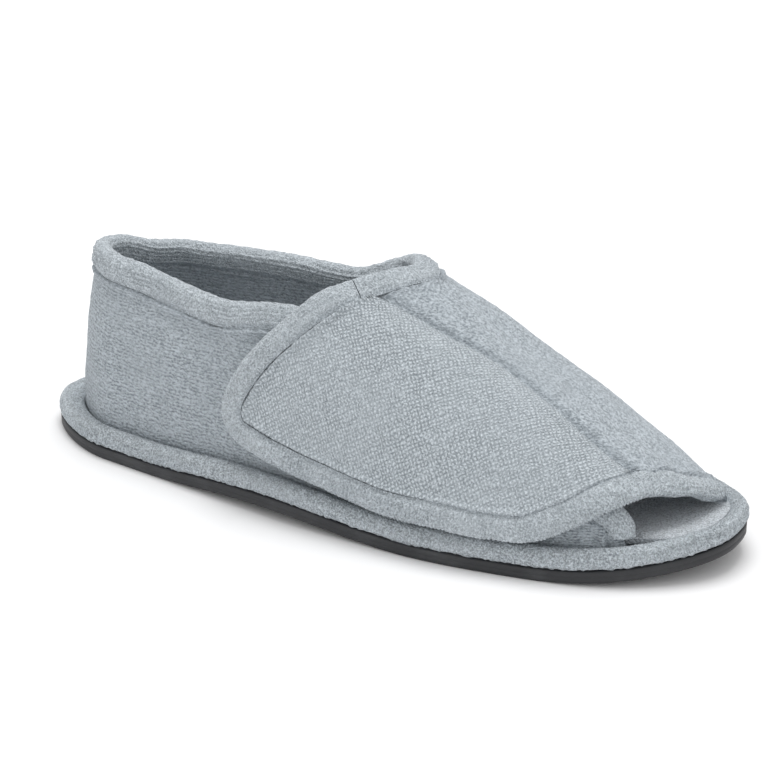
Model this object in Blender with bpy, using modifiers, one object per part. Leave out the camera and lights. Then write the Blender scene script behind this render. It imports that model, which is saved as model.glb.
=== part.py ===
"""Open-toe wrap slipper for the right foot.

An outsole, a cloth-wrapped platform, an insole, one hollow upper, the wrap flap that closes over its
outer quarter, and the folded bindings on their edges.

Metres, +Z up, +X towards the toe, +Y towards the inner side of the foot. The origin is on the floor, in
the middle of the heel's flat spot.

The upper, the flap and the bindings are all drawn on one surface, the last. A place on it has two
coordinates: along, the distance from the back of the heel, negative on the outer side of the foot, and
up, which is 0 at the foot of the wall, 1 on the ridge of the instep, and more than 1 past the ridge on
the other side.
"""

import bpy
import bmesh
import numpy as np

# Driving sizes
LENGTH = 0.2725
BALL_WIDTH = 0.101
HEEL_WIDTH = 0.072
INSTEP_HEIGHT = 0.082
ANKLE_HEIGHT = 0.104
TOE_SPRING = 0.0078
ARCH_RISE = 0.0034

# Ends of the outline: how far in the rounding starts, and how square it is
HEEL_ROUND = 0.0375
HEEL_SQUARENESS = 1.95
TOE_ROUND = 0.0525
TOE_SQUARENESS = 2.5

# Thicknesses and clearances
OUTSOLE_THICK = 0.0046
OUTSOLE_CHAMFER = 0.0009
PLATFORM_SEAT = 0.0037
RIM_HEIGHT = 0.0070
RIM_WIDTH = 0.0062
HEEL_LEDGE = 0.0040
HEEL_LEDGE_REACH = 0.0425
INSOLE_THICK = 0.0026
UPPER_WALL = 0.0034
FLAP_WALL = 0.0030
TAPE = 0.0008
TAPE_BULGE = 0.0009
GAP = 0.0003
FIT = 0.00045
INNER_FIT = 0.0007
FOLD_FIT = 0.0009
FOOT_CLEAR = 0.0007
FOOT_FIT = 0.0006
INSOLE_FIT = 0.0012
TAPE_END = 0.0020

# How far the closed flap stands off the quarter, how far the seam stands proud, and the flare of the
# flap's hem
FLAP_LIFT = 0.0032
SEAM_RISE = 0.0028
SEAM_GAP = 0.0004
SEAM_END = 0.0025
HEM_FLARE = 0.0014

# The up over which the flap rises from the seam to its full lift, and what is added to it at the toe
SEAM_SLOPE = 0.12
TOE_SLOPE = 0.16

# Depth of each binding from its bound edge
COLLAR_LEG = 0.0095
FLAP_LEG = 0.0090
TOE_LEG = 0.0080

# Where the flat spots of the underside end, as shares of the length
HEEL_FLAT = 0.20
BALL_FLAT = 0.635
SPRING_START = 0.775
HEEL_REST = 0.030

# The middle of the heel's fan of sections, and how far forward the insole's toe starts to widen
HEEL_CENTRE = 0.0335
TOE_OPENING = 0.248

# along: share of LENGTH; outer and inner half widths: shares of HEEL_WIDTH plus shares of BALL_WIDTH
OUTLINE = np.array([
    # along, outer_heel, outer_ball, inner_heel, inner_ball
    (0.000, 0.486, 0.000, 0.236, 0.000),
    (0.110, 0.536, 0.000, 0.445, 0.000),
    (0.290, 0.310, 0.225, 0.240, 0.175),
    (0.445, 0.000, 0.505, 0.000, 0.386),
    (0.615, 0.000, 0.518, 0.000, 0.480),
    (0.750, 0.000, 0.480, 0.000, 0.480),
    (0.880, 0.000, 0.400, 0.000, 0.376),
    (1.000, 0.000, 0.287, 0.000, 0.257),
])

# Height of the last's ridge: shares of ANKLE_HEIGHT plus shares of INSTEP_HEIGHT; offset: the ridge in
# plan, as a share of BALL_WIDTH; fullness: 2 is an ellipse, less is leaner
RIDGE = np.array([
    # along, ankle, instep, offset, fullness
    (0.000, 1.00, 0.000, 0.020, 1.85),
    (0.123, 1.00, 0.000, 0.020, 1.85),
    (0.345, 0.95, 0.000, 0.012, 2.00),
    (0.550, 0.00, 1.000, 0.000, 2.15),
    (0.700, 0.00, 0.732, -0.012, 2.10),
    (0.850, 0.00, 0.463, -0.020, 2.10),
    (0.950, 0.00, 0.305, -0.020, 2.10),
    (1.000, 0.00, 0.244, -0.020, 2.10),
])

# The bound edge, from the rim at the outer quarter's front, up and back under the flap, round the collar
# and over the instep to the rear end of the flap's seam. foot: where the wall's column that ends here
# starts
COLLAR_EDGE = np.array([
    # along, up, foot
    (-0.900, 0.125, -0.895),
    (-0.897, 0.250, -0.895),
    (-0.885, 0.370, -0.890),
    (-0.855, 0.455, -0.870),
    (-0.795, 0.510, -0.805),
    (-0.700, 0.550, -0.700),
    (-0.580, 0.570, -0.580),
    (-0.470, 0.555, -0.470),
    (-0.388, 0.512, -0.385),
    (-0.317, 0.462, -0.315),
    (-0.240, 0.472, -0.238),
    (-0.170, 0.494, -0.170),
    (-0.080, 0.500, -0.080),
    (0.000, 0.482, 0.000),
    (0.070, 0.445, 0.070),
    (0.150, 0.434, 0.150),
    (0.240, 0.450, 0.240),
    (0.305, 0.458, 0.307),
    (0.364, 0.463, 0.372),
    (0.412, 0.485, 0.435),
    (0.456, 0.578, 0.500),
    (0.492, 0.700, 0.555),
    (0.520, 0.850, 0.615),
    (0.531, 1.000, 0.670),
    (0.519, 1.130, 0.740),
    (0.484, 1.288, 0.820),
])

# The seam between upper and flap, as the upper's side of it: up is past the ridge
SEAM = np.array([
    # along, up, foot
    (0.484, 1.288, 0.820),
    (0.550, 1.283, 0.835),
    (0.612, 1.258, 0.850),
    (0.675, 1.215, 0.870),
    (0.760, 1.227, 0.900),
    (0.855, 1.302, 0.937),
    (0.927, 1.350, 0.968),
])

# The upper's bound front edge, from the seam over the toes to the inner side of the rim
TOE_EDGE = np.array([
    # along, up
    (0.927, 1.350),
    (0.946, 1.200),
    (0.957, 1.000),
    (0.964, 0.750),
    (0.968, 0.500),
])

# The flap's bound edge, from the rear end of the seam, down its rear, along its hem and up its front to
# the seam
FLAP_EDGE = np.array([
    # along, up
    (-0.484, 0.712),
    (-0.454, 0.594),
    (-0.424, 0.490),
    (-0.391, 0.387),
    (-0.365, 0.296),
    (-0.347, 0.216),
    (-0.345, 0.160),
    (-0.362, 0.105),
    (-0.402, 0.075),
    (-0.450, 0.058),
    (-0.512, 0.047),
    (-0.594, 0.038),
    (-0.670, 0.044),
    (-0.732, 0.044),
    (-0.785, 0.072),
    (-0.816, 0.140),
    (-0.840, 0.220),
    (-0.862, 0.320),
    (-0.884, 0.424),
    (-0.904, 0.550),
    (-0.927, 0.650),
])

# How near the seam, as up, a tape's inner points may come
SEAM_MARGIN = 0.018

# Where the upper starts to rise towards the seam, as up, and over how much of up it does
RISE_START = 0.92
RISE_RUN = 0.3

# Shares of the length where the flap's slope grows gentler and where its hem flares.
# HEM_TOP: the flare's top, as up
GENTLE_START = 0.6
GENTLE_RUN = 0.3
HEM_START = 0.5
HEM_RUN = 0.15
HEM_TOP = 0.28

# Share of the length where the upper's columns start to bow along the toe edge
BOW_START = 0.75

# Share of HEEL_CENTRE ahead of the heel's back that the fan of the heel still reads
FAN_MARGIN = 0.1

# Where the wall's columns start to end on the quarter's top
QUARTER_CORNER = 0.33

# The flap's middle, from which its rings of points spread
FLAP_MIDDLE = (-0.640, 0.380)

# Mesh counts
LOOP_POINTS = 32
UPPER_ROWS = 12
ROW_CROWDING = 1.25
SEAM_POINTS = 16
FLAP_EDGE_POINTS = 54
FLAP_RINGS = 7
RING_CROWDING = 1.6
COLLAR_POINTS = 64
TOE_POINTS = 14
TAPE_ARC = 5

OUTER, INNER = -1, 1


def blend(x, xs, ys):
    """A smooth curve through the rows of a table that never overshoots them."""
    width = np.diff(xs)
    slope = np.diff(ys) / width
    lean = np.empty(len(ys))
    lean[0], lean[-1] = slope[0], slope[-1]
    lean[1:-1] = (width[1:] * slope[:-1] + width[:-1] * slope[1:]) / (width[:-1] + width[1:])
    lean[1:-1][slope[:-1] * slope[1:] <= 0] = 0
    i = np.clip(np.searchsorted(xs, x, side="right") - 1, 0, len(xs) - 2)
    t = np.clip((x - xs[i]) / width[i], 0, 1)
    start = (1 + 2 * t) * (1 - t) ** 2 * ys[i] + t * (1 - t) ** 2 * width[i] * lean[i]
    end = t * t * (3 - 2 * t) * ys[i + 1] + t * t * (t - 1) * width[i] * lean[i + 1]
    return start + end


def ease(t):
    """0 to 1 with level ends."""
    t = np.clip(t, 0, 1)
    return t * t * (3 - 2 * t)


def end_rounding(x):
    """Share of the full width that is left near the heel's and the toe's ends."""
    heel = np.clip(1 - x / HEEL_ROUND, 0, 1)
    toe = np.clip(1 - (LENGTH - x) / TOE_ROUND, 0, 1)
    heel_share = (1 - heel**HEEL_SQUARENESS) ** (1 / HEEL_SQUARENESS)
    return heel_share * (1 - toe**TOE_SQUARENESS) ** (1 / TOE_SQUARENESS)


def outline_y(side, x):
    """Plan outline of the sole on one side."""
    s, outer_heel, outer_ball, inner_heel, inner_ball = OUTLINE.T
    outer = blend(x / LENGTH, s, outer_heel * HEEL_WIDTH + outer_ball * BALL_WIDTH)
    inner = blend(x / LENGTH, s, inner_heel * HEEL_WIDTH + inner_ball * BALL_WIDTH)
    return (inner - outer) / 2 + side * (inner + outer) / 2 * end_rounding(x)


def underside(x):
    """Height of the outsole's underside: flat heel, arch, flat ball, toe spring."""
    s = x / LENGTH
    arch = np.sin(np.pi * np.clip((s - HEEL_FLAT) / (BALL_FLAT - HEEL_FLAT), 0, 1)) ** 2
    spring = np.clip((s - SPRING_START) / (1 - SPRING_START), 0, None) ** 2
    return ARCH_RISE * arch + TOE_SPRING * spring


def sole_loop(inset, count=LOOP_POINTS):
    """Plan loop inside the outline, heel to toe on the outer side and back on the inner side.

    inset is a number, or a function of the outline's x and y."""
    x = LENGTH * (1 - np.cos(np.linspace(0, np.pi, count))) / 2
    outer = np.stack([x, outline_y(OUTER, x)], 1)
    inner = np.stack([x, outline_y(INNER, x)], 1)[::-1][1:-1]
    loop = np.concatenate([outer, inner])
    tangent = np.roll(loop, -1, 0) - np.roll(loop, 1, 0)
    tangent /= np.linalg.norm(tangent, axis=1)[:, None]
    inward = np.stack([-tangent[:, 1], tangent[:, 0]], 1)
    depth = inset(loop[:, 0], loop[:, 1]) if callable(inset) else inset
    at_heel = np.clip(1 - loop[:, 0] / HEEL_LEDGE_REACH, 0, 1) ** 2
    ledge = HEEL_LEDGE * at_heel * np.clip(depth / RIM_WIDTH, 0, 1) ** 2
    return loop + inward * np.atleast_1d(depth + ledge)[:, None]


FOOT_INSET = RIM_WIDTH + FOOT_FIT
SEAT = OUTSOLE_THICK + GAP + PLATFORM_SEAT
WALL_FOOT = SEAT + FOOT_CLEAR
BOUND = FOLD_FIT + TAPE + TAPE_BULGE

FINE = 400
FOOT_LOOP = sole_loop(FOOT_INSET, FINE)
FOOT_OUTER = FOOT_LOOP[:FINE]
FOOT_INNER = np.concatenate([FOOT_LOOP[FINE - 1:], FOOT_LOOP[:1]])[::-1]


def ridge(x, column):
    """One column of the ridge table at x, by its number."""
    return blend(x / LENGTH, RIDGE[:, 0], RIDGE[:, column])


def foot_y(side, x):
    """Plan place of the wall's foot on one side."""
    run = FOOT_OUTER if side == OUTER else FOOT_INNER
    order = np.argsort(run[:, 0])
    return np.interp(x, run[order, 0], run[order, 1])


def foot_reach(side, turn):
    """Distance of the wall's foot from the heel's centre, at a turn from straight back."""
    centre = np.array([HEEL_CENTRE, ridge(HEEL_CENTRE, 3) * BALL_WIDTH])
    arm = FOOT_LOOP - centre
    arm = arm[arm[:, 0] < FAN_MARGIN * HEEL_CENTRE]
    angle = np.arctan2(side * arm[:, 1], -arm[:, 0])
    order = np.argsort(angle)
    return np.interp(turn, angle[order], np.hypot(arm[:, 0], arm[:, 1])[order])


def last_point(along, up):
    """Point of the last, along and up given as metres and as shares of the section's side."""
    along, up = np.broadcast_arrays(np.asarray(along, float), np.asarray(up, float))
    past = up > 1
    side = np.where(past, -np.sign(along), np.sign(along))
    side = np.where(side == 0, OUTER, side)
    rise = np.where(past, 2 - up, up)
    reach = np.abs(along)
    x0 = np.maximum(reach, HEEL_CENTRE)
    y0 = ridge(x0, 3) * BALL_WIDTH
    turn = np.clip(reach / HEEL_CENTRE, 0, 1) * np.pi / 2
    in_fan = reach < HEEL_CENTRE
    straight = np.where(side == OUTER, y0 - foot_y(OUTER, x0), foot_y(INNER, x0) - y0)
    fanned = np.where(side == OUTER, foot_reach(OUTER, turn), foot_reach(INNER, turn))
    width = np.where(in_fan, fanned, straight)
    dx = np.where(in_fan, -np.cos(turn), 0.0)
    dy = side * np.where(in_fan, np.sin(turn), 1.0)
    foot = underside(np.clip(x0 + dx * width, 0, LENGTH)) + WALL_FOOT
    top = blend(x0 / LENGTH, RIDGE[:, 0], RIDGE[:, 1] * ANKLE_HEIGHT + RIDGE[:, 2] * INSTEP_HEIGHT)
    fullness = ridge(x0, 4)
    angle = np.clip(rise, 0, 1) * np.pi / 2
    out, lift = np.clip(np.cos(angle), 0, 1), np.clip(np.sin(angle), 0, 1)
    size = (out**fullness + lift**fullness) ** (-1 / fullness)
    out, lift = out * size, lift * size
    return np.stack([x0 + dx * width * out, y0 + dy * width * out, foot + (top - foot) * lift], -1)


def slopes(along, up):
    """The last's change along, its change up and its outward normal."""
    step, turn = 0.0003, 0.003
    by_along = (last_point(along + step, up) - last_point(along - step, up)) / (2 * step)
    low, high = np.maximum(up - turn, 0), up + turn
    by_up = (last_point(along, high) - last_point(along, low)) / (high - low)[..., None]
    normal = np.cross(by_up, by_along)
    return by_along, by_up, normal / np.linalg.norm(normal, axis=-1)[..., None]


def on_last(along, up, out):
    """Point that stands off the last by out."""
    return last_point(along, up) + slopes(along, up)[2] * np.asarray(out)[..., None]


def upper_out(along, up):
    """How far the upper's outside stands off the last: it rises past the ridge, towards the seam."""
    return SEAM_RISE * ease((up - RISE_START) / RISE_RUN) + 0 * along


def seam_up(along):
    """The flap's side of the seam, as up on the outer side."""
    return 2 - blend(np.abs(along) / LENGTH, SEAM[:, 0], SEAM[:, 1])


def flap_out(along, up):
    """How far the flap's outside stands off the last: level with the seam, then clear of the quarter."""
    forward = ease((np.abs(along) / LENGTH - GENTLE_START) / GENTLE_RUN)
    drop = ease((seam_up(along) - up) / (SEAM_SLOPE + TOE_SLOPE * forward))
    full = FLAP_LIFT + FLAP_WALL
    hem = ease((HEM_TOP - up) / HEM_TOP) * ease((np.abs(along) / LENGTH - HEM_START) / HEM_RUN)
    return SEAM_RISE + (full - SEAM_RISE) * drop + HEM_FLARE * hem


def smooth_path(rows, count, out):
    """Even points on a smooth run through a table's rows: along in metres, up, and any foot in metres."""
    knots = rows * (LENGTH, 1, LENGTH)[:rows.shape[1]]
    spot = last_point(knots[:, 0], knots[:, 1])
    reach = np.concatenate([[0], np.cumsum(np.linalg.norm(np.diff(spot, axis=0), axis=1))])
    lean = np.gradient(knots, reach, axis=0)
    fine = np.linspace(0, reach[-1], 12 * len(rows))
    i = np.clip(np.searchsorted(reach, fine, side="right") - 1, 0, len(rows) - 2)
    span = (reach[i + 1] - reach[i])[:, None]
    t = (fine - reach[i])[:, None] / span
    run = (1 + 2 * t) * (1 - t) ** 2 * knots[i] + t * (1 - t) ** 2 * span * lean[i]
    run += t * t * (3 - 2 * t) * knots[i + 1] + t * t * (t - 1) * span * lean[i + 1]
    run[:, 1] = np.maximum(run[:, 1], 0)
    return evened(run, count, out)


def evened(run, count, out):
    """The same run through a number of evenly spaced points."""
    place = on_last(run[:, 0], run[:, 1], out(run[:, 0], run[:, 1]))
    way = np.concatenate([[0], np.cumsum(np.linalg.norm(np.diff(place, axis=0), axis=1))])
    even = np.linspace(0, way[-1], count)
    return np.stack([np.interp(even, way, column) for column in run.T], 1)


def edge_frames(path, out):
    """Place, tangent, outward normal and inward direction at each point of an edge."""
    along, up = path[:, 0], path[:, 1]
    _, _, normal = slopes(along, up)
    place = last_point(along, up) + normal * out(along, up)[:, None]
    tangent = np.gradient(place, axis=0)
    tangent -= normal * np.sum(tangent * normal, axis=1)[:, None]
    tangent /= np.linalg.norm(tangent, axis=1)[:, None]
    return place, tangent, normal, np.cross(normal, tangent)


def stepped_in(path, depth, out):
    """The path moved across the last by a depth, away from the edge."""
    _, _, _, inward = edge_frames(path, out)
    by_along, by_up, _ = slopes(path[:, 0], path[:, 1])
    move = inward * np.broadcast_to(depth, len(path))[:, None]
    aa, uu = np.sum(by_along**2, 1), np.sum(by_up**2, 1)
    au, ma, mu = np.sum(by_along * by_up, 1), np.sum(move * by_along, 1), np.sum(move * by_up, 1)
    size = aa * uu - au**2
    moved = path.copy()
    moved[:, 0] += (ma * uu - mu * au) / size
    moved[:, 1] = np.maximum(moved[:, 1] + (mu * aa - ma * au) / size, 0)
    return moved


def seam_height(along):
    """The seam's up, on whichever side of it the place lies."""
    past = 2 - seam_up(along)
    return np.where(along < 0, 2 - past, past)


def held_back(path):
    """The path's points kept a margin short of the seam."""
    held = path.copy()
    held[:, 1] = np.minimum(path[:, 1], seam_height(path[:, 0]) - SEAM_MARGIN)
    return held


def bound_edge(rows, count, out):
    """A wall's own edge, inside the tape that binds it, as far as the seam."""
    path = stepped_in(smooth_path(rows, FINE, out), BOUND, out)
    return evened(path[path[:, 1] < seam_height(path[:, 0])], count, out)


def trimmed(path, start, end):
    """The path with its ends drawn in, its other points where they were."""
    place = last_point(path[:, 0], path[:, 1])
    first, last = np.linalg.norm(place[1] - place[0]), np.linalg.norm(place[-1] - place[-2])
    short = path.copy()
    short[0] += (path[1] - path[0]) * start / first
    short[-1] += (path[-2] - path[-1]) * end / last
    return short


def make_material(name, colour, roughness):
    material = bpy.data.materials.new(name)
    material.use_nodes = True
    shader = material.node_tree.nodes["Principled BSDF"]
    shader.inputs["Base Color"].default_value = (*colour, 1)
    shader.inputs["Roughness"].default_value = roughness
    shader.inputs["Metallic"].default_value = 0
    return material


def make_object(name, points, faces, material, collection):
    """One named object from points in the last's frame, with its faces turned out."""
    mesh = bpy.data.meshes.new(name)
    mesh.from_pydata([tuple(p) for p in np.asarray(points) - (HEEL_REST, 0, 0)], [], faces)
    shape = bmesh.new()
    shape.from_mesh(mesh)
    bmesh.ops.recalc_face_normals(shape, faces=shape.faces)
    shape.to_mesh(mesh)
    shape.free()
    mesh.shade_smooth()
    mesh.materials.append(material)
    obj = bpy.data.objects.new(name, mesh)
    collection.objects.link(obj)
    return obj


def thicken(obj, wall):
    """Give an open surface its wall, on its inner side."""
    solid = obj.modifiers.new("wall", "SOLIDIFY")
    solid.thickness = wall
    solid.offset = -1
    solid.use_even_offset = True


def slab(name, sections, material, collection):
    """A loft through plan loops, from (inset, height) rows, closed across both ends by ladders of faces."""
    loops = []
    for inset, height in sections:
        loop = sole_loop(inset)
        loops.append(np.column_stack([loop, underside(np.clip(loop[:, 0], 0, LENGTH)) + height]))
    n = len(loops[0])
    faces = []
    for level in range(len(loops) - 1):
        for i in range(n):
            j = (i + 1) % n
            faces.append((level * n + i, level * n + j, (level + 1) * n + j, (level + 1) * n + i))
    for base in (0, (len(loops) - 1) * n):
        faces.append((base, base + 1, base + n - 1))
        faces.append((base + LOOP_POINTS - 2, base + LOOP_POINTS - 1, base + LOOP_POINTS))
        for i in range(1, LOOP_POINTS - 2):
            faces.append((base + i, base + i + 1, base + n - i - 1, base + n - i))
    return make_object(name, np.concatenate(loops), faces, material, collection)


def make_outsole(material, collection):
    sections = [
        (OUTSOLE_CHAMFER, 0.0),
        (0.0, OUTSOLE_CHAMFER),
        (0.0, OUTSOLE_THICK),
    ]
    return slab("outsole", sections, material, collection)


def make_platform(material, collection):
    """Wrapped midsole: a round rim, and a lower seat inside it for the wall's foot and the insole."""
    foot = OUTSOLE_THICK + GAP
    sections = [
        (0.18 * RIM_WIDTH, foot),
        (0.0, foot + 0.15 * RIM_HEIGHT),
        (-0.05 * RIM_WIDTH, foot + 0.5 * RIM_HEIGHT),
        (0.06 * RIM_WIDTH, foot + 0.8 * RIM_HEIGHT),
        (0.30 * RIM_WIDTH, foot + 0.97 * RIM_HEIGHT),
        (0.60 * RIM_WIDTH, foot + RIM_HEIGHT),
        (0.87 * RIM_WIDTH, foot + 0.90 * RIM_HEIGHT),
        (RIM_WIDTH, foot + 0.74 * RIM_HEIGHT),
        (RIM_WIDTH, SEAT),
    ]
    return slab("platform", sections, material, collection)


def insole_inset(x, y):
    """The insole stays inside the wall, and widens to the rim where the toe is open."""
    open_toe = ease((x - TOE_OPENING) / (0.05 * LENGTH)) * ease(-y / (0.12 * BALL_WIDTH))
    return FOOT_INSET + (UPPER_WALL + INSOLE_FIT) * (1 - open_toe)


def make_insole(material, collection):
    edge = 0.3 * INSOLE_THICK
    sections = [
        (insole_inset, SEAT + GAP),
        (insole_inset, SEAT + GAP + INSOLE_THICK - edge),
        (lambda x, y: insole_inset(x, y) + edge, SEAT + GAP + INSOLE_THICK),
    ]
    return slab("insole", sections, material, collection)


def seam_corner(seam, along):
    """The corner where a wall's edge comes to the seam: the seam's line read at the edge's along."""
    return np.array([np.interp(along, seam[:, 0], column) for column in seam.T]) * (0, 1, 1) + (along, 0, 0)


def upper_grid():
    """Columns of (along, up) from the wall's foot to the quarter's top, the collar and the seam."""
    collar = bound_edge(COLLAR_EDGE, COLLAR_POINTS, upper_out)
    toe = bound_edge(TOE_EDGE, TOE_POINTS, upper_out)
    corner = int(np.argmax(collar[:, 1] > QUARTER_CORNER))
    seam = stepped_in(smooth_path(SEAM, SEAM_POINTS, upper_out), SEAM_GAP / 2, upper_out)
    between = (seam[:, 0] > collar[-1, 0] + SEAM_END) & (seam[:, 0] < toe[0, 0] - SEAM_END)
    ends = [seam_corner(seam, collar[-1, 0]), *seam[between], seam_corner(seam, toe[0, 0])]
    head = np.concatenate([collar[corner:-1], ends])
    start, stop = collar[0, 0], toe[-1, 0]
    foot = np.clip(head[:, 2], start, stop)
    foot[0], foot[-1] = start, stop
    rows = 1 - (1 - np.linspace(0, 1, UPPER_ROWS)) ** ROW_CROWDING
    along = foot[:, None] * (1 - rows) + head[:, :1] * rows
    up = head[:, 1:2] * rows
    straight = stop + (toe[0, 0] - stop) * rows
    bowed = np.interp(rows * head[-1, 1], toe[::-1, 1], toe[::-1, 0])
    near_toe = ease((head[:, 0] / LENGTH - BOW_START) / (SEAM[-1, 0] - BOW_START))
    return along + near_toe[:, None] * (bowed - straight), up


def make_upper(material, collection):
    """One hollow wall, from the outer quarter's front, round the heel, over the instep to the seam."""
    along, up = upper_grid()
    points = on_last(along, up, upper_out(along, up)).reshape(-1, 3)
    faces = []
    for i in range(len(along) - 1):
        for j in range(UPPER_ROWS - 1):
            a = i * UPPER_ROWS + j
            faces.append((a, a + 1, a + UPPER_ROWS + 1, a + UPPER_ROWS))
    obj = make_object("upper", points, faces, material, collection)
    face_outwards(obj)
    thicken(obj, UPPER_WALL)
    return obj


def face_outwards(obj):
    """Turn an open sheet so that its faces look away from the middle of the shoe's floor."""
    mesh = obj.data
    middle = np.array([LENGTH / 2 - HEEL_REST, 0, WALL_FOOT])
    away = 0.0
    for face in mesh.polygons:
        away += face.area * float(np.dot(np.array(face.normal), np.array(face.center) - middle))
    if away < 0:
        mesh.flip_normals()


def flap_loop():
    """The flap's outline as (along, up): its seam, then its edge back round to the start."""
    edge = bound_edge(FLAP_EDGE, FLAP_EDGE_POINTS, flap_out)
    seam = SEAM[:, :2] * (-1, -1) + (0, 2)
    line = stepped_in(smooth_path(seam, SEAM_POINTS, flap_out), -SEAM_GAP / 2, flap_out)[::-1]
    corners = []
    for along in (edge[0, 0], edge[-1, 0]):
        corners.append((along, np.interp(along, line[:, 0], line[:, 1])))
    between = (line[:, 0] < edge[0, 0] - SEAM_END) & (line[:, 0] > edge[-1, 0] + SEAM_END)
    return np.concatenate([corners[:1], line[between][::-1], corners[1:], edge[-2:0:-1]])


def make_flap(material, collection):
    """The wrap flap: rings of points from its middle out to its edge, on the lifted surface."""
    loop = flap_loop()
    middle = np.array(FLAP_MIDDLE) * (LENGTH, 1)
    n = len(loop)
    rings = [middle[None, :]]
    for k in range(1, FLAP_RINGS + 1):
        rings.append(middle + (loop - middle) * (1 - (1 - k / FLAP_RINGS) ** RING_CROWDING))
    spots = np.concatenate(rings)
    points = on_last(spots[:, 0], spots[:, 1], flap_out(spots[:, 0], spots[:, 1]))
    faces = [(0, 1 + i, 1 + (i + 1) % n) for i in range(n)]
    for k in range(FLAP_RINGS - 1):
        for i in range(n):
            j = (i + 1) % n
            faces.append((1 + k * n + i, 1 + (k + 1) * n + i, 1 + (k + 1) * n + j, 1 + k * n + j))
    obj = make_object("wrap_flap", points, faces, material, collection)
    face_outwards(obj)
    thicken(obj, FLAP_WALL)
    return obj


def tape_section(wall, leg):
    """A folded tape around a wall's edge, as (depth in from that edge, distance out from the outside)."""
    out, face = FIT + TAPE, -wall - INNER_FIT
    back = face - TAPE
    deep = leg - BOUND
    section = [(deep, out), (0.45 * deep, out), (0.0, out)]
    half, middle = (out - back) / 2, (out + back) / 2
    for step in range(1, TAPE_ARC):
        angle = np.pi * step / TAPE_ARC
        section.append((-BOUND * np.sin(angle), middle + half * np.cos(angle)))
    section += [(0.0, back), (0.45 * deep, back), (deep, back)]
    section += [(deep, face), (0.45 * deep, face), (-FOLD_FIT, face)]
    section += [(-FOLD_FIT, FIT), (0.45 * deep, FIT), (deep, FIT)]
    return section


def binding(name, path, section, out, material, collection):
    """Sweep the folded tape along a wall's edge, each leg following the last."""
    place, _, normal, inward = edge_frames(path, out)
    columns = []
    for depth, off in section:
        if depth > 0:
            under = held_back(stepped_in(path, depth, out))
            spot = on_last(under[:, 0], under[:, 1], out(under[:, 0], under[:, 1]) + off)
        else:
            spot = place + inward * depth + normal * off
        columns.append(spot)
    points = np.stack(columns, 1)
    n, m = len(path), len(section)
    faces = [tuple(range(m)), tuple((n - 1) * m + k for k in reversed(range(m)))]
    for i in range(n - 1):
        for k in range(m):
            j = (k + 1) % m
            faces.append((i * m + k, i * m + j, (i + 1) * m + j, (i + 1) * m + k))
    return make_object(name, points.reshape(-1, 3), faces, material, collection)


def make_bindings(material, collection):
    """The three folded tapes: collar and quarter front, flap edge, toe edge."""
    collar = tape_section(UPPER_WALL, COLLAR_LEG)
    flap = tape_section(FLAP_WALL, FLAP_LEG)
    toe = tape_section(UPPER_WALL, TOE_LEG)
    collar_path = trimmed(bound_edge(COLLAR_EDGE, COLLAR_POINTS, upper_out), 0, TAPE_END)
    flap_path = trimmed(bound_edge(FLAP_EDGE, FLAP_EDGE_POINTS, flap_out), TAPE_END, TAPE_END)
    runs = [
        ("collar_binding", collar_path, collar, upper_out),
        ("flap_binding", flap_path, flap, flap_out),
        ("toe_binding", bound_edge(TOE_EDGE, TOE_POINTS, upper_out)[1:], toe, upper_out),
    ]
    for name, path, section, out in runs:
        binding(name, path, section, out, material, collection)


def main():
    for obj in list(bpy.data.objects):
        bpy.data.objects.remove(obj, do_unlink=True)
    collection = bpy.data.collections.new("wrap_slipper")
    bpy.context.scene.collection.children.link(collection)
    rubber = make_material("black_rubber", (0.018, 0.018, 0.02), 0.7)
    rim_cloth = make_material("rim_terry", (0.40, 0.44, 0.47), 0.95)
    sock_cloth = make_material("insole_terry", (0.45, 0.49, 0.52), 0.95)
    wall_cloth = make_material("upper_terry", (0.37, 0.41, 0.45), 0.95)
    tape_cloth = make_material("binding_terry", (0.40, 0.44, 0.48), 0.95)
    make_outsole(rubber, collection)
    make_platform(rim_cloth, collection)
    make_insole(sock_cloth, collection)
    make_upper(wall_cloth, collection)
    make_flap(wall_cloth, collection)
    make_bindings(tape_cloth, collection)


main()
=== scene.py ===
"""Open-toe wrap slipper for the right foot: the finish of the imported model, in terry cloth and matt rubber.

Metres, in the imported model's frame: +X towards the toe, +Y towards the inner side of the foot, +Z up.

The cloth pieces are drawn again, finely, on the last that the solids were drawn on. A place on the last
has two coordinates: along, the distance from the back of the heel, negative on the outer side of the
foot, and up, which is 0 at the foot of the wall, 1 on the ridge of the instep, and more than 1 past the
ridge on the other side.
"""

import logging
import math
from dataclasses import dataclass, field
from enum import Enum
from typing import Callable

import bmesh
import bpy
import numpy as np
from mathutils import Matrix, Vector
from mathutils.kdtree import KDTree

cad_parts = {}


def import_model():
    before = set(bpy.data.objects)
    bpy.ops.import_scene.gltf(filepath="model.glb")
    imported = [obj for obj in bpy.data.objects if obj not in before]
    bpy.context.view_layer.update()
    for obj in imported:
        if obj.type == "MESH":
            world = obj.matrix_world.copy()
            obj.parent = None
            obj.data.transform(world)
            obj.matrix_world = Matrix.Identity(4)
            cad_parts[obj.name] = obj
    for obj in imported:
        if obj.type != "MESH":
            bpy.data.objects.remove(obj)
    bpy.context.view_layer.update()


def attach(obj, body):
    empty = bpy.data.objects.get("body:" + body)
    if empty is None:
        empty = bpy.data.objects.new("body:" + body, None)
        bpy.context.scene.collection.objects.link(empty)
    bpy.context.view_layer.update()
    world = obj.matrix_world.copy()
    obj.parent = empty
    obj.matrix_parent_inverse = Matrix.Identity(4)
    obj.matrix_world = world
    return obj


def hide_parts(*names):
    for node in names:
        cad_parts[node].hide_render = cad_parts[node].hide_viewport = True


log = logging.getLogger("slipper")

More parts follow.
